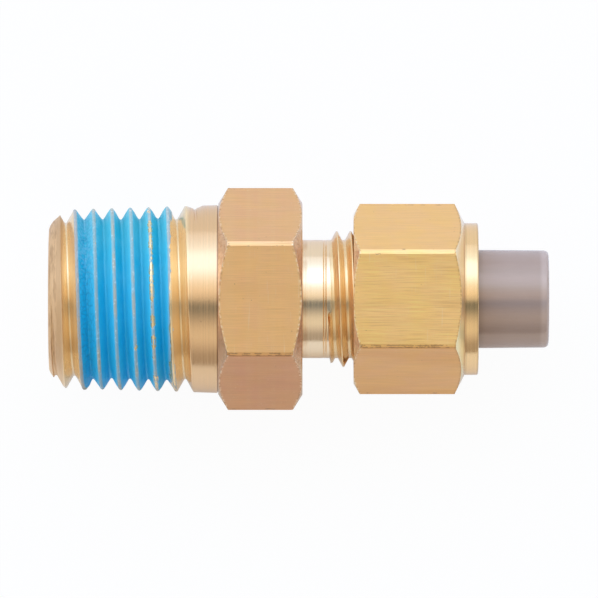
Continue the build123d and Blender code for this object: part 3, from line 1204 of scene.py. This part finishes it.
# %% [markdown]
# ## Blue compound
#
# The compound is brushed on along the groove, so it has fine streaks round the thread. It is deep
# blue where it is thick, and pale and greyish on the crests, where it is thin and rubbed. The first
# turns are cracked and pitted, and chalky on one side. Painted light makes it paler towards +Y,
# deeper blue towards -Y, and lighter on the flank of each groove that faces -X.

# %% Compound
blue, tree = new_material("blue_sealant")
where = placed(tree, spot)
along = where["Along"]
marks = placed(tree, handling, Place=where["Place"], Speck=0.2)
steps = maths(tree, "DIVIDE", minus(tree, along, first_groove), pitch)
groove_place = minus(tree, steps, where["Turn"])
phase = minus(tree, maths(tree, "FRACT", maths(tree, "ADD", groove_place, 100.5)), 0.5)
root_line = scaled(tree, along, taper, end_radius - depth)
height = maths(tree, "DIVIDE", minus(tree, where["Radius"], root_line), depth)
helix = node_of(tree, "ShaderNodeCombineXYZ", X=times(tree, phase, 13.0))
filled(tree, helix, Y=times(tree, where["Turn"], 9.0), Z=times(tree, along, 0.35))
streaks = noise_at(tree, helix.outputs[0], 1.0, 4.0, 0.6)
streak = step_up(tree, streaks, 0.32, 0.68)
cracks = node_of(tree, "ShaderNodeTexVoronoi", Vector=where["Place"], Scale=2.6)
cracks.feature = "DISTANCE_TO_EDGE"
crack = step_up(tree, cracks.outputs["Distance"], 0.07, 0.0)
early = step_up(tree, along, 4.4, 2.6)
fine = noise_at(tree, where["Place"], 4.0, 3.0)
# Painted light: the flank of each groove that faces -X is lighter blue than the one that faces +X.
colour = blended(tree, step_up(tree, phase, -0.12, 0.12), (0.004, 0.47, 0.64), (0.035, 0.57, 0.70))
colour = tinted(tree, colour, streak, 0.3, (0.004, 0.38, 0.56))
colour = tinted(tree, colour, marks["Patches"], 0.25, (0.08, 0.60, 0.68))
# Painted light: towards +Y the compound is paler and redder, towards -Y deeper blue, as the light
# falls from +Y.
sides = step_up(tree, where["Turn"], -0.2, 0.16)
colour = multiplied(tree, colour, blended(tree, sides, (2.4, 0.94, 0.84), (0.45, 1.0, 1.30)))
cracked = times(tree, larger(tree, crack, marks["Specks"]), early)
colour = tinted(tree, colour, cracked, 0.45, (0.01, 0.20, 0.38))
chalky = times(tree, step_up(tree, fine, 0.42, 0.6), step_up(tree, along, 3.8, 3.2))
chalky = times(tree, chalky, step_up(tree, where["Turn"], 0.0, -0.1))
colour = tinted(tree, colour, chalky, 0.4, (0.28, 0.62, 0.74))
spread = noise_at(tree, where["Place"], 0.45, 2.0)
rubbed_more = scaled(tree, step_up(tree, spread, 0.42, 0.6), 0.4, 0.6)
rubbed = times(tree, step_up(tree, height, 0.86, 1.0), rubbed_more)
smeared = step_up(tree, groove_place, 0.62, 0.5)
late = step_up(tree, along, 2.6, 7.0)
pale = blended(tree, late, (0.48, 0.42, 0.28), (0.48, 0.47, 0.38))
pale = blended(tree, step_up(tree, fine, 0.56, 0.68), pale, (0.70, 0.70, 0.60))
colour = tinted(tree, colour, rubbed, 0.88, pale)
colour = tinted(tree, colour, smeared, 0.8, (0.47, 0.44, 0.38))
edge = step_up(tree, along, 8.58, 8.82)
colour = tinted(tree, colour, edge, 0.6, (0.42, 0.46, 0.46))
rough = scaled(tree, streak, 0.14, 0.42)
relief = scaled(tree, cracked, -2.0, streak)
relief = scaled(tree, fine, 1.2, relief)
shader = surfaced(tree, colour, rough, relief, 0.00001)
shader.inputs["IOR"].default_value = 1.45
shader.inputs["Specular Tint"].default_value = (1.0, 0.75, 0.5, 1)
seal.data.materials.append(blue)

# %% [markdown]
# ## Grey plastic of the sleeve
#
# The sleeve is moulded, with an even satin skin. It has a very fine grain, slightly darker clouds
# where it was touched, and faint lines along the way that it left its mould. A painted shadow
# darkens it where it comes out of the nut, and a painted highlight makes it paler at its rim.

# %% Sleeve plastic
grey, tree = new_material("grey_sleeve")
where = placed(tree, spot)
marks = placed(tree, handling, Place=where["Place"], Speck=0.06)
lines = placed(tree, drawing, Place=where["Place"])
grain = noise_at(tree, where["Place"], 16.0, 2.0)
colour = blended(tree, marks["Patches"], (0.36, 0.262, 0.215), (0.345, 0.25, 0.205))
colour = tinted(tree, colour, lines["Lines"], 0.25, (0.41, 0.30, 0.245))
# Painted highlight: the sleeve is paler over the last part before its end.
painted_rim_highlight = step_up(tree, where["Along"], sleeve_end - 0.75, sleeve_end - 0.4)
colour = tinted(tree, colour, painted_rim_highlight, 0.6, (0.52, 0.40, 0.34))
# Painted shadow: the sleeve is darker where it comes out of the nut.
painted_nut_shadow = step_up(tree, where["Along"], nut_end + 0.6, nut_end)
colour = tinted(tree, colour, painted_nut_shadow, 0.5, (0.22, 0.155, 0.12))
colour = tinted(tree, colour, marks["Specks"], 0.4, (0.16, 0.12, 0.11))
rough = scaled(tree, marks["Patches"], 0.05, 0.14)
relief = scaled(tree, lines["Lines"], 0.4, grain)
shader = surfaced(tree, colour, rough, relief, 0.000002)
shader.inputs["IOR"].default_value = 2.35
shader.inputs["Specular Tint"].default_value = (1.0, 0.68, 0.42, 1)
sleeve.data.materials.append(grey)
print("finishes:", [made.name for made in (body_brass, nut_brass, blue, grey)])

# %% [markdown]
# ## Last steps
#
# Each piece goes to its body and stands for its solid.

# %% Handing over
finished(body, "connector", "connector_body")
finished(nut, "nut", "union_nut")
finished(sleeve, "sleeve", "sleeve")
finished(seal, "connector", "thread_sealant", 60)
